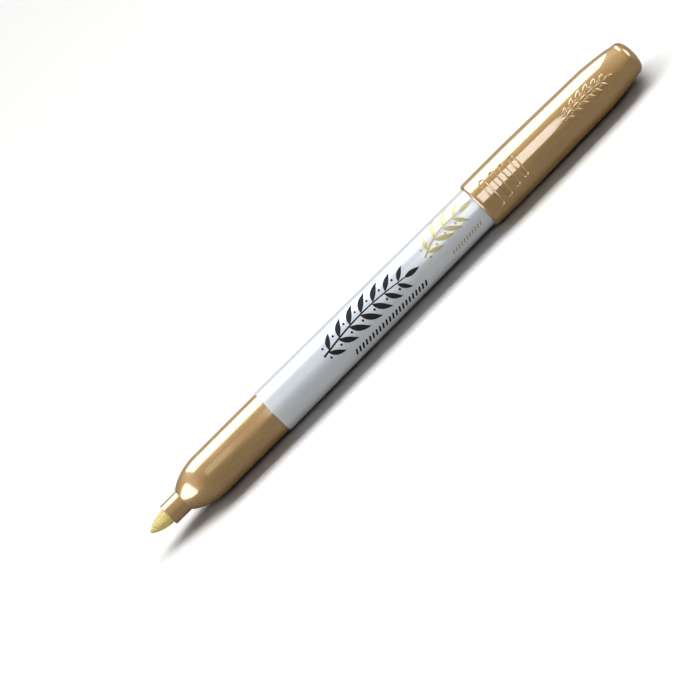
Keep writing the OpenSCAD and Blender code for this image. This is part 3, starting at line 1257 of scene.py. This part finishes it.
@dataclass
class Cap:
    """The cap: its shell with thumb grooves and a raised ornament, its clip, ribs and liner.

    The clip's and the ornament's places are distances from the rim. The ornament's reach is in
    radians to each side, stop_play is in degrees and stop_root is the share of its radius that
    a rib's inner half keeps.
    """

    layout: Layout
    lip: float = 0.12
    lip_depth: float = 0.3
    rim_round: float = 0.9
    taper_start: float = 13.0
    nose_start: float = 34.5
    taper_drop: float = 0.41
    crown_radius: float = 4.3
    crown_height: float = 2.4
    crown_power: float = 2.6
    wall: float = 0.47
    wide_depth: float = 19.5
    ring_depth: float = 23.0
    post_depth: float = 25.3
    ring_radius: float = 5.07
    seat_radius: float = 4.36
    liner_radius: float = 3.6
    liner_depth: float = 28.0
    liner_end: float = 45.0
    groove_count: int = 4
    groove_width: float = 1.5
    groove_pitch: float = 2.73
    groove_start: float = 3.9
    groove_depth: float = 0.2
    groove_length: float = 7.6
    groove_step: float = 0.55
    groove_side: float = 0.22
    fine_start: float = 2.7
    raised: float = 0.1
    raised_side: float = 0.2
    ornament_start: float = 24.8
    ornament_end: float = 40.8
    ornament_margin: float = 0.7
    ornament_reach: float = 0.8
    clip_width: float = 4.4
    clip_thickness: float = 1.25
    clip_least: float = 0.3
    clip_corner: float = 0.32
    clip_gap: float = 0.6
    clip_start: float = 6.0
    clip_root: float = 35.0
    clip_root_length: float = 8.0
    clip_lead: float = 1.2
    clip_sink: float = 1.9
    clip_tail: float = 0.4
    clip_bump: float = 0.5
    clip_bump_place: float = 2.4
    clip_bump_width: float = 0.7
    stop_height: float = 0.15
    stop_radius: float = 0.4
    stop_start: float = 2.5
    stop_length: float = 9.5
    stop_play: float = 0.7
    stop_root: float = 0.3

    def rows(self) -> np.ndarray:
        """Gives the shell's outline, outside from the rim to the end and then back inside.

        Returns:
            Rows of x, radius and edge.
        """
        rim, radius = self.layout.rim, self.layout.cap_radius
        bore = radius - self.wall
        slope = math.atan2(self.taper_drop, self.nose_start - self.taper_start)
        crown = self.layout.cap_end - self.crown_height
        outside = [
            (rim + self.lip_depth, bore, 0.0),
            (rim, bore + 0.03, 0.03),
            (rim, bore + self.lip, 0.05),
            *rising_arc(rim + 0.06, bore + self.lip + 0.06, rim + self.rim_round, radius, 14),
            (rim + self.taper_start, radius, 0.0),
            *falling_arc(
                rim + self.nose_start, radius - self.taper_drop, slope, crown, self.crown_radius
            ),
            *dome(crown, self.crown_radius, self.crown_height, self.crown_power),
        ]
        rows = outline(outside, 0.1)
        rows = denser(rows, rim + self.fine_start, rim + self.taper_start + 0.3, 0.1)
        rows = denser(rows, rim + self.ornament_start, rim + self.ornament_end, 0.125)
        rows = denser(rows, rim, self.layout.cap_end, 1.0)
        inside = [
            (rim + self.liner_end, 0.0, 0.0),
            (rim + self.liner_end, self.liner_radius, 0.0),
            (rim + self.liner_depth, self.liner_radius, 0.0),
            (rim + self.post_depth, self.seat_radius, 0.0),
            (rim + self.post_depth, self.ring_radius, 0.0),
            (rim + self.ring_depth, self.ring_radius, 0.0),
            (rim + self.wide_depth, bore, 0.0),
        ]
        return np.concatenate([rows, np.array(inside)])

    def groove_lift(self, along: np.ndarray, across: np.ndarray) -> np.ndarray:
        """Gives the depth of the thumb grooves.

        Args:
            along: Distances from the rim.
            across: Distances from the middle of the facing side, straight across.

        Returns:
            What is added to the radius.
        """
        lift = np.zeros(along.shape)
        for i in range(self.groove_count):
            half = (self.groove_length - i * self.groove_step - self.groove_width) / 2
            beyond = np.maximum(np.abs(across) - half, 0)
            reach = np.hypot(along - self.groove_start - i * self.groove_pitch, beyond)
            share = np.clip((self.groove_width / 2 - reach) / self.groove_side, 0, 1)
            lift -= self.groove_depth * share * share * (3 - 2 * share)
        return lift

    def raised_strokes(self) -> list[Stroke]:
        """Draws the raised ornament, a small copy of the barrel's branch.

        Returns:
            The strokes, by distance from the rim and round the cap.
        """
        branch = Branch(length=24.6, pairs=6, leaf_length=5.2, leaf_width=1.9, stem=0.75)
        return branch.placed(along=26.0, across=0.1, scale=0.52)

    def shell(self) -> bpy.types.Object:
        """Builds the shell.

        Returns:
            The shell.
        """
        rows = self.rows()
        angles = facing_angles(47, 0.55, 3.0)
        along = np.broadcast_to(rows[:, :1] - self.layout.rim, (len(rows), len(angles)))
        turn = (angles + math.pi) % (2 * math.pi) - math.pi
        radius = np.broadcast_to(rows[:, 1:2], along.shape)
        front = np.abs(turn) < math.pi / 2
        outside = np.arange(len(rows))[:, None] <= np.argmax(rows[:, 0])
        lift = np.where(outside & front, self.groove_lift(along, radius * np.sin(turn)), 0.0)
        low = self.ornament_start - self.ornament_margin
        high = self.ornament_end + self.ornament_margin
        patch = outside & (along > low) & (along < high) & (np.abs(turn) < self.ornament_reach)
        strokes = self.raised_strokes()
        ridge = closeness(along[patch], (radius * turn)[patch], strokes, self.raised_side)
        lift[patch] += self.raised * ridge
        return lathe("cap_shell_skin", self.layout, rows, angles, lift)

    def stop(self, side: int) -> bpy.types.Object:
        """Builds one of the low ribs that keep the cap from rolling.

        Args:
            side: 1 for the upper rib and -1 for the lower one.

        Returns:
            The rib.
        """
        radius, length = self.stop_radius, self.stop_length
        reach = self.layout.cap_radius + self.stop_height
        start, core = self.layout.rim + self.stop_start, reach - radius
        play = math.degrees(math.acos(self.layout.cap_radius / reach)) + self.stop_play
        apart = math.radians(90 - math.degrees(self.layout.facing) + play)
        middle = math.pi - side * apart
        turns = np.linspace(0, math.pi / 2, 8)[1:]
        ends = [(radius - radius * math.cos(a), radius * math.sin(a)) for a in turns]
        rings = ends + [(length - x, r) for x, r in reversed(ends)]
        round_way = even_angles(24)
        count = len(round_way)
        height = np.cos(round_way) * np.where(np.cos(round_way) < 0, self.stop_root, 1.0)
        points = []
        for x, r in rings:
            level = core + r * height
            angle = middle + r * np.sin(round_way) / reach
            points.extend(self.layout.place(np.full(count, start + x), level, angle))
        points.extend(self.layout.place(np.array([start, start + length]), core, middle))
        foot = len(rings) * count
        last = foot - count
        faces = bands(len(rings), count)
        for j in range(count):
            k = (j + 1) % count
            faces.extend([(foot, k, j), (foot + 1, last + j, last + k)])
        name = f"roll_stop_{'upper' if side > 0 else 'lower'}"
        return new_object(name, np.array(points), faces)

    def clip(self) -> bpy.types.Object:
        """Builds the pocket clip as a run of rounded sections.

        Returns:
            The clip.
        """
        under = self.layout.cap_radius + self.clip_gap
        reach = under + self.clip_thickness
        end = self.clip_root + self.clip_root_length
        half_width = self.clip_width / 2
        arc = np.array(falling_arc(self.clip_root, reach, 0.0, end, self.crown_radius))
        nose = self.clip_start + half_width * (1 - np.cos(np.linspace(0.05, math.pi / 2, 16)))
        bend = self.clip_root - self.clip_lead
        arm = np.linspace(nose[-1], bend, 40)[1:]
        root = np.linspace(bend, end - self.clip_tail, 22)[1:]
        middle = self.clip_start + self.clip_bump_place
        sections = []
        for x in np.concatenate([nose, arm, root]):
            top = reach if x < self.clip_root else float(np.interp(x, arc[:, 0], arc[:, 1]))
            bump = self.clip_bump * math.exp(-(((x - middle) / self.clip_bump_width) ** 2))
            sink = np.clip((x - bend) / self.clip_lead, 0, 1)
            bottom = min(under - bump - self.clip_sink * sink * sink, top - self.clip_least)
            into = np.clip(1 - (x - self.clip_start) / half_width, 0, 1)
            half = half_width * math.sqrt(max(1 - into * into, 0.0))
            sections.append(self.clip_section(x, bottom, top, half))
        count = len(sections[0])
        points = np.concatenate(sections)
        faces = bands(len(sections), count)
        faces.append(tuple(range(count))[::-1])
        faces.append(tuple(range(len(points) - count, len(points))))
        return new_object("pocket_clip", points, faces)

    def clip_section(self, x: float, bottom: float, top: float, half: float) -> np.ndarray:
        """Gives one cross-section of the clip, with round corners.

        Args:
            x: Distance from the rim.
            bottom: Distance of its underside from the centre line.
            top: Distance of its outer side from the centre line.
            half: Half of its width.

        Returns:
            Points in metres.
        """
        mid, tall = (top + bottom) / 2, (top - bottom) / 2
        corner = min(self.clip_corner, 0.9 * tall, 0.9 * half)
        ring = []
        for side, level in ((1, 1), (-1, 1), (-1, -1), (1, -1)):
            for step in np.linspace(0, math.pi / 2, 5):
                turn = step if side == level else math.pi / 2 - step
                u = side * (half - corner + corner * math.cos(turn))
                v = level * (tall - corner + corner * math.sin(turn))
                ring.append((u, mid + v))
        u, v = np.array(ring).T
        v = np.where(v > mid, np.sqrt(np.maximum(v * v - u * u, 0)), v)
        angle = math.pi + np.arctan2(u, v)
        return self.layout.place(np.full(len(u), self.layout.rim + x), np.hypot(u, v), angle)

    def build(self) -> None:
        """Builds and dresses the cap."""
        join_body(self.shell(), Finish.CAP_GOLD, "cap", "gold_plastic", "cap_shell")
        for piece in (self.clip(), self.stop(1), self.stop(-1)):
            join_body(piece, Finish.CAP_GOLD, "cap", "gold_plastic")
        dress_packed("cap_liner", Finish.LINER)


# Studio


class Role(Enum):
    """What a light panel is for."""

    LIGHT = "it lights surfaces and doesn't show in gloss"
    GLOSS = "it shows in gloss and lights nothing else"


@dataclass(frozen=True)
class Panel:
    """A soft light panel that faces the marker.

    Its direction is an angle above the table's near side, so that 90 is overhead and 180 is the
    far side. Its sizes and its distance are in metres and its brightness is its power for each
    square metre. Its length runs along the marker.
    """

    name: str
    role: Role
    direction: float
    distance: float
    width: float
    length: float
    brightness: float
    colour: tuple[float, float, float]
    along: float = 0.0
    rounded: bool = False

    def build(self, aim: Vector) -> None:
        """Places the panel.

        Args:
            aim: The point it faces.
        """
        data = bpy.data.lights.new(self.name, "AREA")
        data.shape = "ELLIPSE" if self.rounded else "RECTANGLE"
        data.size = self.length
        data.size_y = self.width
        data.energy = self.brightness * self.length * self.width
        data.color = self.colour
        lamp = into_scene(self.name, data)
        turn = math.radians(self.direction)
        away = Vector((0.0, -math.cos(turn), math.sin(turn)))
        across = Vector((0.0, -math.sin(turn), -math.cos(turn)))
        basis = Matrix((Vector((1, 0, 0)), across, away)).transposed()
        shift = Vector((self.along, 0, 0))
        lamp.matrix_world = Matrix.Translation(aim + shift + away * self.distance) @ basis.to_4x4()
        lamp.visible_camera = False
        lamp.visible_diffuse = self.role is Role.LIGHT
        lamp.visible_glossy = self.role is Role.GLOSS
        LOG.info("%s stands at %.0f degrees", self.name, self.direction)


@dataclass(frozen=True)
class Studio:
    """The table, the light and the camera.

    The elevation and the roll are in degrees, the lens, the view's width and the shifts are in
    millimetres, and the table's size is in metres. The table's own colours are what the camera
    sees. Its bounce shade is painted shade: a darker colour that only rays other than the camera's
    see, so that the table throws less light on the marker's underside and into its shadow and shows
    darker in the marker's gloss. Its lean is the normal that it is shaded with.
    """

    layout: Layout
    elevation: float = 33.4
    roll: float = 44.92
    lens: float = 180.0
    view_width: float = 154.3
    shift_right: float = 9.22
    shift_up: float = 12.67
    table_size: float = 6.0
    table_colours: tuple[Colour, Colour] = ((0.93, 0.935, 0.94, 1), (0.96, 0.96, 0.96, 1))
    table_bounce_shade: Colour = (0.43, 0.4, 0.36, 1)
    table_lean: tuple[float, float] = (0.588, 0.809)
    room_colour: Colour = (0.9, 0.94, 1.0, 1)
    room_light: float = 0.04

    def table(self) -> None:
        """Builds the white table top."""
        half = self.table_size / 2
        mesh = bpy.data.meshes.new("table_top")
        corners = [(-half, -half, 0), (half, -half, 0), (half, half, 0), (-half, half, 0)]
        mesh.from_pydata(corners, [], [(0, 1, 2, 3)])
        top = into_scene("table_top", mesh)
        material, bench, shader = blank_material("table_white")
        shade = bench.noise(bench.stretched(1.0, 1.0), 900.0)
        seen = bench.blend(shade, *self.table_colours)
        # Painted shade: rays other than the camera's see the darker bounce colour, which dims the
        # light thrown on the marker's underside and into its shadow and darkens the table in the
        # marker's gloss
        ray = bench.add("ShaderNodeLightPath").outputs["Is Camera Ray"]
        lean_y, lean_z = self.table_lean
        lean = bench.add("ShaderNodeCombineXYZ", {"X": 0.0, "Y": lean_y, "Z": lean_z})
        inputs = {
            "Base Color": bench.blend(ray, self.table_bounce_shade, seen),
            "Normal": lean.outputs[0],
            "Roughness": 0.9,
            "Specular IOR Level": 0.1,
        }
        bench.feed(shader, inputs)
        mesh.materials.append(material)

    def lights(self) -> None:
        """Places the panels and sets the room's own light."""
        aim = Vector((0, self.layout.line_y * MM, self.layout.line_z * MM))
        light, gloss, rise = Role.LIGHT, Role.GLOSS, self.elevation
        panels = [
            Panel("key", light, 104, 1.0, 0.47, 2.8, 17.8, (1, 0.995, 0.98)),
            Panel("front_fill", light, 14, 1.0, 0.16, 0.9, 14, (1, 0.98, 0.95)),
            Panel("high_fill", light, 50, 1.0, 0.16, 0.9, 16, (1, 0.98, 0.95)),
            Panel("long_highlight", gloss, rise + 90, 0.7, 0.698, 0.6, 34, (1, 0.99, 0.94)),
            Panel("soft_band", gloss, rise + 15, 1.3, 0.92, 0.145, 31, (1, 0.95, 0.88), 0.147),
            Panel("grip_glow", gloss, rise + 17, 1.3, 0.66, 0.16, 6.5, (1, 0.93, 0.76), -0.13),
            Panel("nib_side", gloss, rise + 22, 0.4, 1.15, 0.8, 28, (1, 0.98, 0.94), -0.78, True),
            Panel("end_side", gloss, rise + 32, 0.5, 0.8, 0.9, 26, (1, 0.98, 0.94), 0.88, True),
        ]
        for panel in panels:
            panel.build(aim)
        world = bpy.data.worlds.new("room")
        world.use_nodes = True
        background = world.node_tree.nodes["Background"]
        background.inputs["Color"].default_value = self.room_colour
        background.inputs["Strength"].default_value = self.room_light
        bpy.context.scene.world = world

    def camera(self) -> None:
        """Places the camera, square to the marker and rolled so that it points up to the right."""
        lo, hi = CAD_BOX
        centre = Vector(((lo.x + hi.x) / 2, self.layout.line_y * MM, self.layout.line_z * MM))
        rise, roll = math.radians(self.elevation), math.radians(self.roll)
        away = Vector((0, -math.cos(rise), math.sin(rise)))
        across = Vector((1, 0, 0))
        over = away.cross(across)
        right = across * math.cos(roll) - over * math.sin(roll)
        up = across * math.sin(roll) + over * math.cos(roll)
        data = bpy.data.cameras.new("camera")
        data.lens = self.lens
        distance = self.view_width * MM * self.lens / data.sensor_width
        aim = centre - right * self.shift_right * MM - up * self.shift_up * MM
        view = into_scene("camera", data)
        basis = Matrix((right, up, away)).transposed()
        view.matrix_world = Matrix.Translation(aim + away * distance) @ basis.to_4x4()
        data.clip_start, data.clip_end = 0.01, 20.0
        bpy.context.scene.camera = view

    def build(self) -> None:
        """Builds the table, the lights and the camera."""
        self.table()
        self.lights()
        self.camera()
        bpy.context.scene.view_settings.view_transform = "Standard"


def main() -> None:
    """Builds the marker and the studio."""
    logging.basicConfig(level=logging.INFO, format="%(name)s: %(message)s")
    layout = Layout.from_frame()
    Writer(layout).build()
    Barrel(layout).build()
    Cap(layout).build()
    Studio(layout).build()


if __name__ == "__main__":
    main()
